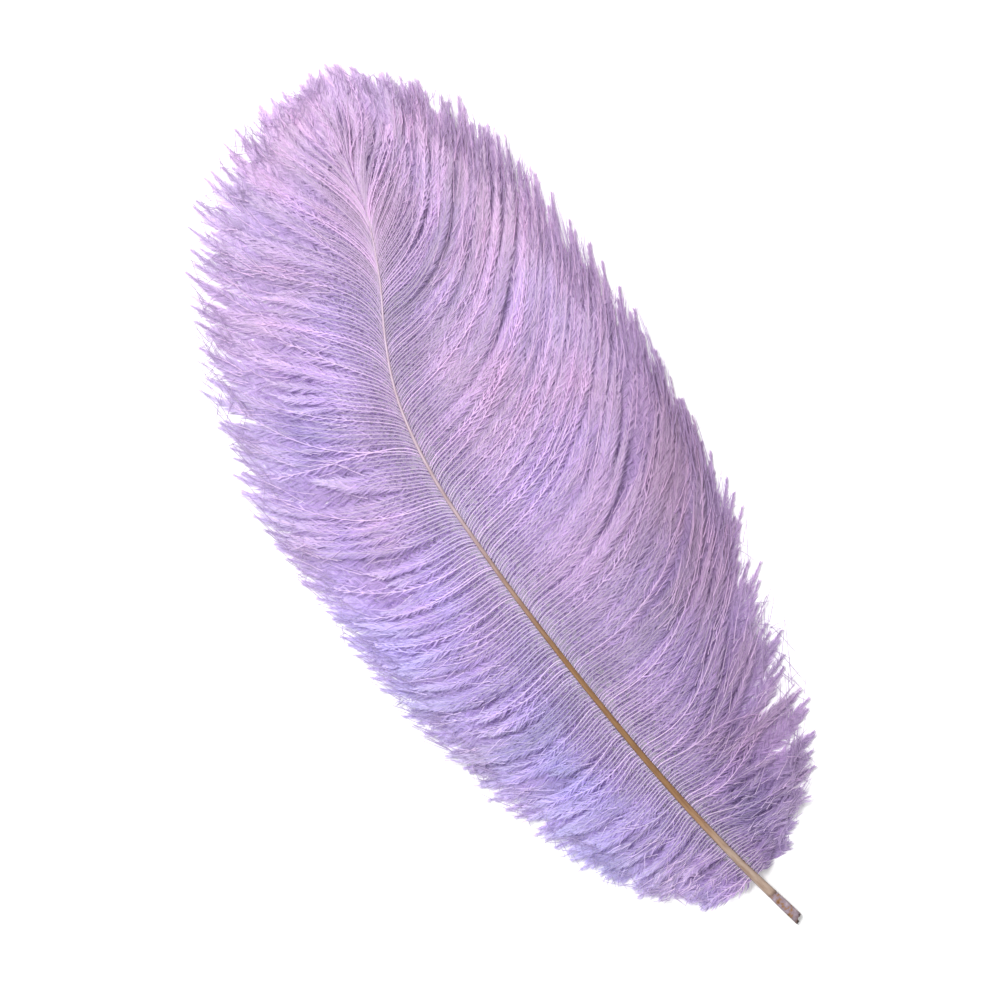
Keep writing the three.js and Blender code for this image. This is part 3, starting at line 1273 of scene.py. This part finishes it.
@dataclass(frozen=True)
class Ramus:
    """The thin three-sided strand in the middle of each barb."""

    radius: float = 0.25
    taper: float = 0.42
    corners_degrees: tuple[int, int, int] = (90, 210, 330)
    hairs: tuple[float, float, float] = (0.0, 0.06, 0.1)
    # Painted shade: the rami of barbs in the layer below are drawn this much darker.
    underneath: float = 0.7
    point: float = 0.2

    def strands(self, barbs: Barbs) -> Fibres:
        """Sweep a strand along each barb.

        Args:
            barbs: the barbs.

        Returns:
            Their strands.
        """
        lines = barbs.lines
        count, stations = lines.shape[:2]
        along = unit(np.gradient(lines, axis=1))
        level = unit(np.cross(along, [0, 0, 1.0]))
        up = np.cross(level, along)
        t = station_shares(stations)
        radius = self.radius * (1 - self.taper * t) * np.where(t > 0.999, self.point, 1)
        corners = np.radians(self.corners_degrees)
        ring = (
            level[:, :, None, :] * np.cos(corners)[None, None, :, None]
            + up[:, :, None, :] * np.sin(corners)[None, None, :, None]
        )
        points = lines[:, :, None, :] + ring * radius[None, :, None, None]
        step = np.arange(stations - 1)[None, :, None]
        start = (np.arange(count)[:, None, None] * stations + step) * 3
        side = np.arange(3)[None, None, :]
        following = (side + 1) % 3
        quads = np.stack([start + side, start + 3 + side, start + 3 + following, start + following], -1)
        barb = np.repeat(np.arange(count), stations * 3)
        reach = np.tile(np.repeat(t, 3), count)
        return Fibres(
            points=points.reshape(-1, 3),
            quads=quads.reshape(-1, 4)[:, ::-1],
            triangles=np.zeros((0, 3), int),
            barb=barb,
            tint=barbs.tint[barb],
            hair=barbs.zones(barb, reach) @ self.hairs,
            depth=self.underneath * barbs.depth[barb],
            across=np.tile([0.0, -0.08, 0.08], count * stations),
            reach=reach,
        )


@dataclass(frozen=True)
class Dressing:
    """How barbules stand along a ramus: in tufts of thin pointed blades, each of two joints.

    Each angle, tilt, length share and painted shade has three values: in the comb near the shaft, midway
    and at the barb's tip. An angle is between the ramus and the barbule, and a tilt is up from level,
    both in degrees. The painted shade is 0 for barbules in full light and 1 for those that lie under
    others, which are drawn darker, and it is lessened where a barb's comb runs long. hairs and across go
    from a blade's root to its tip. hairs are places on the colour ramp, which draws barbules darker near
    their roots as painted shade and paler further out as painted highlight; tip_hairs, used at a barb's
    tip, lie further up it and paler. A crowding of 1 spaces tufts evenly, and less moves them towards the
    barb's tip. Barbules shorten and close up from the share closing of a barb on, by closed at its tip.
    Every spread is how much chance changes a thing, and every pair of sizes is the least and the most
    that it scales it to. follows has two shares each for a blade's middle and its end: how far it moves
    with its own root, and how far it scatters. ends are the first and the last place that a tuft takes,
    tip_calm how much less chance does at a barb's tip, waist a blade's width at its middle joint, and
    lowest how close to the table it comes. Real barbules are finer and many more, and are drawn coarser
    here so that they show.
    """

    length: float
    width: float
    pitch: float
    per_tuft: int
    angles: tuple[float, float, float]
    tilts: tuple[float, float, float]
    length_shares: tuple[float, float, float]
    painted_shades: tuple[float, float, float]
    hairs: tuple = (0.12, 0.12, 0.28, 0.28, 0.55)
    tip_hairs: tuple = (0.6, 0.6, 0.85, 0.85, 1.0)
    across: tuple = (0.1, 0.16, 0.5, 0.56, 1.0)
    scatter: tuple[float, float, float] = (0.16, 0.16, 0.2)
    sag: float = 0.1
    crowding: float = 1.0
    closing: float = 0.84
    closed: float = 0.62
    angle_spread: float = 5.0
    tilt_spread: float = 17.0
    sizes: tuple[float, float] = (0.72, 1.18)
    bend: float = 0.45
    ends: tuple[float, float] = (0.004, 0.985)
    tuft_spread: float = 0.3
    blade_spread: float = 0.25
    fan_spread: float = 0.42
    roll_spread: float = 0.3
    tint_spread: float = 0.16
    blade_tint_spread: float = 0.08
    tip_calm: float = 0.2
    follows: tuple[tuple[float, float], tuple[float, float]] = ((0.8, 0.7), (0.5, 2.2))
    outer_sizes: tuple[float, float] = (0.75, 1.3)
    width_sizes: tuple[float, float] = (0.75, 1.2)
    waist: float = 0.9
    lowest: float = 0.05

    def barbules(self, barbs: Barbs, chosen: Array, rng: np.random.Generator) -> Fibres:
        """Dress chosen barbs.

        Args:
            barbs: all barbs of a piece.
            chosen: the numbers of those that are dressed.
            rng: the seeded source of chance.

        Returns:
            Their barbules.
        """
        lengths = barbs.lengths
        tufts = np.maximum((lengths * barbs.cover / self.pitch)[chosen].astype(int), 3)
        barb = np.repeat(chosen, 2 * tufts)
        side = np.concatenate([np.tile([-1.0, 1.0], n) for n in tufts])
        order = np.concatenate([np.repeat(np.arange(n), 2) for n in tufts])
        count = len(barb)
        uneven = rng.uniform(-self.tuft_spread, self.tuft_spread, count)
        share = (order + 0.5 + uneven) / np.repeat(tufts, 2 * tufts)
        share = np.clip(share, *self.ends) ** self.crowding
        zones = barbs.zones(barb, share)
        calm = 1 - self.tip_calm * zones[:, 2]
        pointed = 1 - self.closed * ease(self.closing, 1, share)
        angle = np.radians(zones @ self.angles + rng.normal(0, self.angle_spread, count) * calm) * pointed
        tilt = np.radians(zones @ self.tilts + rng.normal(0, self.tilt_spread, count) * calm)
        length = self.length * (zones @ self.length_shares) * rng.uniform(*self.sizes, count) * pointed
        root, along = barbs.at(barb, share)
        level = unit(np.cross(along, [0, 0, 1.0])) * side[:, None]
        up = np.cross(level * side[:, None], along)
        out = level * np.cos(tilt)[:, None] + up * np.sin(tilt)[:, None]
        first = along * np.cos(angle)[:, None] + out * np.sin(angle)[:, None]
        bend = angle * self.bend
        second = along * np.cos(bend)[:, None] + out * np.sin(bend)[:, None] - (0, 0, self.sag)
        half = length[:, None] * 0.5
        middle = root + first * half
        end = middle + unit(second) * half
        fan = rng.normal(0, self.fan_spread, count)
        tint = barbs.tint[barb] + rng.normal(0, self.tint_spread, count)
        pick = np.repeat(np.arange(count), self.per_tuft)
        blades = len(pick)
        step = np.tile(np.arange(self.per_tuft) - (self.per_tuft - 1) / 2, count)
        step = step + rng.uniform(-self.blade_spread, self.blade_spread, blades)
        shift = step * self.pitch / self.per_tuft
        own_root, _ = barbs.at(barb[pick], share[pick] + shift / lengths[barb[pick]])
        moved = own_root - root[pick]
        scatter = rng.normal(0, 1, (blades, 3)) * self.scatter * calm[pick][:, None]
        (middle_moves, middle_scatters), (end_moves, end_scatters) = self.follows
        own_middle = middle[pick] + middle_moves * moved + middle_scatters * scatter
        own_end = end[pick] + end_moves * moved + end_scatters * scatter
        own_end = own_middle + (own_end - own_middle) * rng.uniform(*self.outer_sizes, (blades, 1))
        flat = unit(np.cross(first, up))[pick]
        roll = (fan[pick] + rng.normal(0, self.roll_spread, blades))[:, None]
        wide = flat * np.cos(roll) + np.cross(first[pick], flat) * np.sin(roll)
        wide = wide * (self.width * rng.uniform(*self.width_sizes, blades) / 2)[:, None]
        waist = self.waist * wide
        points = np.stack(
            [own_root - wide, own_root + wide, own_middle - waist, own_middle + waist, own_end], 1,
        )
        points[..., 2] = np.maximum(points[..., 2], self.lowest)
        base = np.arange(blades)[:, None] * 5
        tip = zones[pick][:, 2:]
        hair = np.array(self.hairs) * (1 - tip) + np.array(self.tip_hairs) * tip
        nudges = np.tile([-0.001, 0.001, 0.002, 0.004, 0.005], blades)
        blade_tint = tint[pick] + rng.normal(0, self.blade_tint_spread, blades)
        return Fibres(
            points=points.reshape(-1, 3),
            quads=base + np.array([[0, 1, 3, 2]]),
            triangles=base + np.array([[2, 3, 4]]),
            barb=np.repeat(barb[pick], 5),
            tint=np.repeat(np.clip(blade_tint, 0, 1), 5),
            hair=hair.ravel(),
            # Painted shade: blades under others and in the comb are drawn darker, less so where the comb
            # runs long.
            depth=np.repeat((zones @ self.painted_shades / np.maximum(barbs.comb[barb], 1))[pick], 5),
            across=np.repeat(side[pick], 5) * np.tile(self.across, blades),
            reach=np.clip(np.repeat(share[pick], 5) + nudges, 0, 1),
        )


UPPER = Dressing(
    length=5.4, width=0.15, pitch=1.15, per_tuft=3, angles=(42, 28, 27), tilts=(-38, -8, -5),
    length_shares=(0.26, 1, 0.7), painted_shades=(0.35, 0.0, 0.0),
)
UNDER = Dressing(
    length=7.4, width=0.3, pitch=1.6, per_tuft=3, angles=(50, 44, 42), tilts=(-12, -8, -2),
    length_shares=(0.75, 1, 0.72), painted_shades=(0.8, 0.42, 0.22), crowding=0.62,
)


@dataclass
class Bunches:
    """Neighbouring barbs shared out to bunches.

    numbers holds each barb's bunch, inside its place in the bunch from -1 to 1, and centres each
    bunch's place along the vane.
    """

    numbers: Array
    inside: Array
    centres: Array

    @classmethod
    def gathered(cls, share: Array, sizes: tuple[int, int], rng: np.random.Generator) -> "Bunches":
        """Share barbs out.

        Args:
            share: each barb's place along the vane, in order.
            sizes: the fewest and the most barbs in a bunch.
            rng: the seeded source of chance.

        Returns:
            The bunches.
        """
        numbers = np.zeros(len(share), int)
        barb = bunch = 0
        while barb < len(share):
            size = int(rng.integers(sizes[0], sizes[1] + 1))
            numbers[barb:barb + size] = bunch
            barb += size
            bunch += 1
        centres = np.array([share[numbers == k].mean() for k in range(bunch)])
        spread = np.array([max(np.ptp(share[numbers == k]), 1e-4) / 2 for k in range(bunch)])
        return cls(numbers, np.clip((share - centres[numbers]) / spread[numbers], -1, 1), centres)

    def __len__(self) -> int:
        """How many bunches there are."""
        return len(self.centres)

    def each(self, values: Array) -> Array:
        """Give each barb the value of its bunch."""
        return values[self.numbers]


@dataclass
class Vane:
    """The barbs and barbules on one side of the shaft.

    Barbs gather into strands of a few, and strands into locks. A grip is how far they come together,
    from 0 to 1, and pairs are the least and the most that chance gives. Swings are the spread of how
    far sideways tips stray, in shares of the vane: of a lock, of a strand and of a stray barb. Sways
    are how far a lock and a barb wave on the way there. tip_comb and quill_comb change how long barbs
    stay sparsely dressed at the tip and at the quill, and the latter fades out by quill_comb_share.
    A lock's middle barb reaches lock_reach times as far, and its outer ones rounding less. lock_closes
    and strand_closes are the shares of a barb's length where its lock and its strand begin to close,
    and where they have. Rises are in millimetres over the vane's middle layer: a short lock lies
    higher, a lock's middle is its crown, and the layer below dips at the shaft. From crowded_from on,
    barbs stand closer, up to 1 + crowding times as close.
    """

    line: ShaftLine
    shape: VaneShape
    material: bpy.types.Material
    upper_barbs: int = 276
    under_barbs: int = 196
    stations: int = 21
    pieces: int = 4
    lock_sizes: tuple[int, int] = (5, 15)
    strand_sizes: tuple[int, int] = (2, 5)
    lock_grips: tuple[float, float] = (0.15, 0.6)
    strand_grips: tuple[float, float] = (0.3, 0.85)
    short_locks: float = 0.45
    short_reaches: tuple[float, float] = (0.62, 0.9)
    full_reaches: tuple[float, float] = (0.93, 1.03)
    under_reaches: tuple[float, float] = (0.88, 1.02)
    strays: float = 0.12
    swings: tuple[float, float, float] = (0.006, 0.005, 0.022)
    sways: tuple[float, float] = (0.005, 0.0016)
    tip_lift: float = 2.6
    tip_comb: float = 1.6
    tip_comb_shares: tuple[float, float] = (0.7, 0.95)
    quill_comb: float = 0.28
    quill_comb_share: float = 0.3
    crowding: float = 1.3
    crowded_from: float = 0.8
    spacing_spread: float = 0.12
    lock_closes: tuple[float, float] = (0.25, 1)
    strand_closes: tuple[float, float] = (0.35, 0.9)
    lock_reach: float = 1.03
    rounding: float = 0.16
    own_reaches: tuple[float, float] = (0.88, 1.03)
    least_stray_reach: float = 0.7
    short_rise: float = 1.2
    rise_spread: float = 0.6
    crown: float = 0.9
    under_rises: tuple[float, float] = (-1.8, -0.8)
    under_dip: float = 1.0
    dip_share: float = 0.3
    stray_rise: float = 1.8
    wave: float = 0.3
    lowest: float = 0.4
    lock_tint_spread: float = 0.12
    tint_spread: float = 0.1
    stray_tint: float = 0.35
    stray_covers: tuple[float, float] = (0.1, 0.6)

    def __post_init__(self) -> None:
        """Seed the chance and lay out the flow."""
        self.rng = np.random.default_rng(self.shape.seed)
        self.flow = FlowField(self.line, self.shape)

    def build(self) -> list[bpy.types.Object]:
        """Model and dress the vane.

        Returns:
            The vane's pieces, from the quill to the tip.
        """
        barbs = self._lay_out()
        bounds = np.linspace(0, len(barbs.lines), self.pieces + 1).astype(int)
        made = []
        for number, (first, last) in enumerate(zip(bounds, bounds[1:]), 1):
            part = barbs.part(first, last)
            fibres = Fibres.joined([
                Ramus().strands(part),
                UNDER.barbules(part, np.flatnonzero(part.depth > 0.5), self.rng),
                UPPER.barbules(part, np.flatnonzero(part.depth < 0.5), self.rng),
            ])
            piece = fibres.piece(f"{self.shape.node}_barbs_{number}", len(part.lines))
            hand_over(piece, self.material, self.shape.node)
            log.info("%s: %d triangles", piece.name, 2 * len(fibres.quads) + len(fibres.triangles))
            made.append(piece)
        return made

    def _lay_out(self) -> Barbs:
        """Lay out the barbs' middle lines in locks, with a spread layer under them.

        Returns:
            The vane's barbs, from the quill to the tip.
        """
        rng = self.rng
        share = np.concatenate([self._spaced(self.upper_barbs), self._spaced(self.under_barbs)])
        order = np.argsort(share)
        share = share[order]
        count = len(share)
        under = order >= self.upper_barbs
        stray = ~under & (rng.random(count) < self.strays)
        locks = Bunches.gathered(share, self.lock_sizes, rng)
        short = rng.random(len(locks)) < self.short_locks
        t = station_shares(self.stations)
        place = self._places(share, locks, under, stray, t)
        reach = self._reaches(locks, short, under, stray)[:, None] * t
        points = self.flow.at(place, reach)
        rise = self._rises(locks, short, under, stray, t)
        points[..., 2] = np.maximum(self.flow.height(place, reach) + rise, self.lowest)
        tint = 0.5 + locks.each(rng.normal(0, self.lock_tint_spread, len(locks)))
        tint = tint + rng.normal(0, self.tint_spread, count)
        tint = np.clip(tint + np.where(stray, self.stray_tint, 0), 0, 1)
        cover = np.where(stray, rng.uniform(*self.stray_covers, count), 1.0)
        comb = 1 + self.tip_comb * ease(*self.tip_comb_shares, share)
        comb = comb * (self.quill_comb + (1 - self.quill_comb) * ease(0, self.quill_comb_share, share))
        return Barbs(points, tint, under.astype(float), cover, comb)

    def _spaced(self, count: int, samples: int = 400) -> Array:
        """Space a layer of barbs out along the vane, closer towards the tip.

        Args:
            count: how many barbs there are.
            samples: how many places the crowding is added up at.

        Returns:
            Their places, from 0 to 1.
        """
        place = np.linspace(0, 1, samples)
        crowd = np.cumsum(1 + self.crowding * ease(self.crowded_from, 1, place))
        even = (np.arange(count) + 0.5 + self.rng.normal(0, self.spacing_spread, count)) / count
        return np.interp(even, (crowd - crowd[0]) / (crowd[-1] - crowd[0]), place)

    def _places(self, share: Array, locks: Bunches, under: Array, stray: Array, t: Array) -> Array:
        """Lay each barb along the vane as it gathers, swings and sways.

        Args:
            share: where each barb leaves the shaft.
            locks: the locks.
            under: which barbs are in the layer below.
            stray: which barbs stray.
            t: shares of a barb's length.

        Returns:
            One row of places along the vane for each barb.
        """
        rng = self.rng
        count = len(share)
        free = under | stray
        strands = Bunches.gathered(share, self.strand_sizes, rng)
        lock_grip = np.where(free, 0.0, locks.each(rng.uniform(*self.lock_grips, len(locks))))
        lock_grip = lock_grip[:, None] * ease(*self.lock_closes, t)
        strand_grip = np.where(free, 0.0, strands.each(rng.uniform(*self.strand_grips, len(strands))))
        strand_grip = strand_grip[:, None] * ease(*self.strand_closes, t)
        place = share[:, None] + (locks.each(locks.centres) - share)[:, None] * lock_grip
        place = place + (strands.each(strands.centres) - share)[:, None] * (1 - lock_grip) * strand_grip
        by_lock, by_strand, by_stray = self.swings
        swing = locks.each(rng.normal(0, by_lock, len(locks)))
        swing = np.where(free, 0.0, swing + strands.each(rng.normal(0, by_strand, len(strands))))
        swing = swing + np.where(stray, rng.normal(0, by_stray, count), 0)
        swing = swing + np.where(under, rng.normal(0, by_lock / 2, count), 0)
        lock_sway, own_sway = self.sways
        sway = np.where(free[:, None], 0, locks.each(ripple(rng, len(locks), t))) * lock_sway
        sway = sway + ripple(rng, count, t, 4) * own_sway
        return place + sway * t + swing[:, None] * t**2

    def _reaches(self, locks: Bunches, short: Array, under: Array, stray: Array) -> Array:
        """Say how far each barb reaches towards the vane's outline.

        Args:
            locks: the locks.
            short: which locks end early.
            under: which barbs are in the layer below.
            stray: which barbs stray.

        Returns:
            Shares of the flow lines' length.
        """
        rng = self.rng
        count = len(under)
        early = rng.uniform(*self.short_reaches, len(locks))
        reach = locks.each(np.where(short, early, rng.uniform(*self.full_reaches, len(locks))))
        reach = reach * (self.lock_reach - self.rounding * locks.inside**2)
        reach = reach * rng.uniform(*self.own_reaches, count)
        reach = np.where(under, rng.uniform(*self.under_reaches, count), reach)
        return np.where(
            stray, rng.uniform(self.least_stray_reach, self.shape.stray_reach, count), reach,
        )

    def _rises(self, locks: Bunches, short: Array, under: Array, stray: Array, t: Array) -> Array:
        """Say how high each barb lies over the vane's middle layer.

        Args:
            locks: the locks.
            short: which locks end early, and so lie on top.
            under: which barbs are in the layer below.
            stray: which barbs stray.
            t: shares of a barb's length.

        Returns:
            One row of heights in millimetres for each barb.
        """
        rng = self.rng
        count = len(under)
        layer = locks.each(self.short_rise * short + rng.normal(0, self.rise_spread, len(locks)))
        layer = layer + self.crown * (1 - locks.inside**2)
        layer = np.where(under, rng.uniform(*self.under_rises, count), layer)
        layer = layer + np.where(stray, self.stray_rise, 0)
        lifts = locks.each(rng.uniform(0, self.tip_lift, len(locks)))
        lifts = np.where(under | stray, 0.0, lifts)
        rise = layer[:, None] * np.sin(np.pi * t) ** 0.8 + ripple(rng, count, t) * self.wave * t
        dip = np.where(under, self.under_dip, 0)[:, None] * (1 - ease(0.0, self.dip_share, t))
        return rise + lifts[:, None] * t**3 - dip


@dataclass
class LooseHairs:
    """Bare hair-like barb ends that stray over a vane and past its outline.

    runs are the shortest and longest shares of a barb's length that a hair takes, and fringe is the
    share of the hairs that start near the outline, with their own starts and runs. A swing is how far
    sideways the longest hairs stray, in shares of the vane. over_vane is how high over the vane's
    middle layer a hair starts, in millimetres. The fringe hairs are drawn darker, as painted shade.
    """

    line: ShaftLine
    shape: VaneShape
    material: bpy.types.Material
    count: int = 1150
    stations: int = 5
    radius: float = 0.17
    starts: tuple[float, float] = (0.3, 0.84)
    fringe_starts: tuple[float, float] = (0.8, 0.96)
    runs: tuple[float, float] = (0.1, 0.21)
    fringe_runs: tuple[float, float] = (0.06, 0.11)
    fringe: float = 0.62
    swing: float = 0.012
    fringe_swing: float = 0.04
    over_vane: tuple[float, float] = (1.2, 3.6)
    span: tuple[float, float] = (0.01, 0.99)
    wave: float = 0.003
    taper: float = 0.65
    lowest: float = 0.5
    # Painted shade on the hairs at the fringe.
    fringe_shade: float = 0.6
    fringe_tint: float = 0.5
    tint: float = 0.9
    tint_spread: float = 0.16

    def build(self) -> bpy.types.Object:
        """Model and dress the hairs.

        Returns:
            The finished piece.
        """
        rng = np.random.default_rng(self.shape.seed + 1)
        flow = FlowField(self.line, self.shape)
        t = station_shares(self.stations)
        fringe = rng.random(self.count) < self.fringe
        share = np.sort(rng.uniform(*self.span, self.count))
        start, run = (
            np.where(fringe, rng.uniform(*outer, self.count), rng.uniform(*inner, self.count))
            for outer, inner in ((self.fringe_starts, self.starts), (self.fringe_runs, self.runs))
        )
        swing = np.where(fringe, self.fringe_swing, self.swing) * run / self.runs[1]
        swing = swing * np.clip(rng.normal(0, 1, self.count), -2, 2)
        place = share[:, None] + swing[:, None] * t + ripple(rng, self.count, t) * self.wave * t
        reach = start[:, None] + run[:, None] * t
        points = flow.at(place, reach)
        over = rng.uniform(*self.over_vane, self.count)[:, None] * (1 - 0.5 * t)
        points[..., 2] = np.maximum(flow.height(place, reach) + over, self.lowest)
        tint = np.where(fringe, self.fringe_tint, self.tint)
        tint = np.clip(tint + rng.normal(0, self.tint_spread, self.count), 0, 1)
        depth = self.fringe_shade * fringe
        hairs = Barbs(points, tint, depth, np.zeros(self.count), np.ones(self.count))
        strands = Ramus(self.radius, self.taper, hairs=(0.0, 0.0, 0.0)).strands(hairs)
        piece = strands.piece(f"{self.shape.node}_loose_hairs", self.count)
        hand_over(piece, self.material, self.shape.node)
        return piece


# ---- Studio ---------------------------------------------------------------------------------------


@dataclass
class Studio:
    """Pale table, soft light and the camera that looks down on the plume.

    aim, roll, view_mm and plume_top place the camera: the point below it and the width that it sees,
    in millimetres, at the height plume_top. The table, the key light and far_clip are in metres, and
    the table lies table_drop below the plume so that the two never share a face.
    """

    aim: tuple = (2.1, 8.9)
    roll: float = -28.19
    lens: float = 100.0
    sensor: float = 36.0
    view_mm: float = 380.0
    plume_top: float = 10.0
    table_size: float = 6.0
    table_drop: float = 0.0002
    far_clip: float = 20.0
    sky: float = 0.75
    key_place: tuple = (-0.26, 0.62, 1.18)
    key_size: float = 0.5
    key_power: float = 21.0

    def build(self) -> None:
        """Set up the table, the lights and the camera."""
        self._table()
        self._lights()
        self._camera()

    def _table(self) -> None:
        """Lay the card that the plume lies on."""
        bpy.ops.object.select_all(action="DESELECT")
        bpy.ops.mesh.primitive_plane_add(size=self.table_size, location=(0, 0, -self.table_drop))
        table = bpy.context.object
        table.name = "table"
        table.data.materials.append(TableFinish().material())

    def _lights(self) -> None:
        """Hang one soft panel up in an evenly white room."""
        world = bpy.data.worlds.new("studio")
        world.use_nodes = True
        room = world.node_tree.nodes["Background"]
        room.inputs["Color"].default_value = (1, 1, 1, 1)
        room.inputs["Strength"].default_value = self.sky
        bpy.context.scene.world = world
        light = bpy.data.lights.new("key", "AREA")
        light.size = self.key_size
        light.energy = self.key_power
        panel = bpy.data.objects.new("key", light)
        panel.location = self.key_place
        panel.rotation_euler = (-Vector(self.key_place)).to_track_quat("-Z", "Y").to_euler()
        bpy.context.scene.collection.objects.link(panel)

    def _camera(self) -> None:
        """Hold the camera straight over the plume, turned so that the quill points down right."""
        scene = bpy.context.scene
        data = bpy.data.cameras.new("camera")
        data.lens = self.lens
        data.sensor_width = self.sensor
        data.clip_end = self.far_clip
        camera = bpy.data.objects.new("camera", data)
        height = self.view_mm * self.lens / self.sensor + self.plume_top
        camera.location = Vector((*self.aim, height)) * MM
        camera.rotation_euler = (0, 0, math.radians(self.roll))
        scene.collection.objects.link(camera)
        scene.camera = camera
        scene.view_settings.view_transform = "Standard"


def main() -> None:
    """Build the plume and its studio, and note the sizes."""
    logging.basicConfig(level=logging.INFO, format="%(name)s: %(message)s")
    Studio().build()
    line = ShaftLine()
    Shaft(line, QuillFinish().material()).build()
    peeled = QuillFinish(name="quill_sheath_keratin", mottled_share=0.001, rim_shares=(0.043, 0.0485))
    Sheath(line, peeled.material()).build()
    barbs = DyedBarbFinish().material()
    for shape in (LEFT_SHAPE, RIGHT_SHAPE):
        Vane(line, shape, barbs).build()
        LooseHairs(line, shape, barbs).build()


if __name__ == "__main__":
    main()
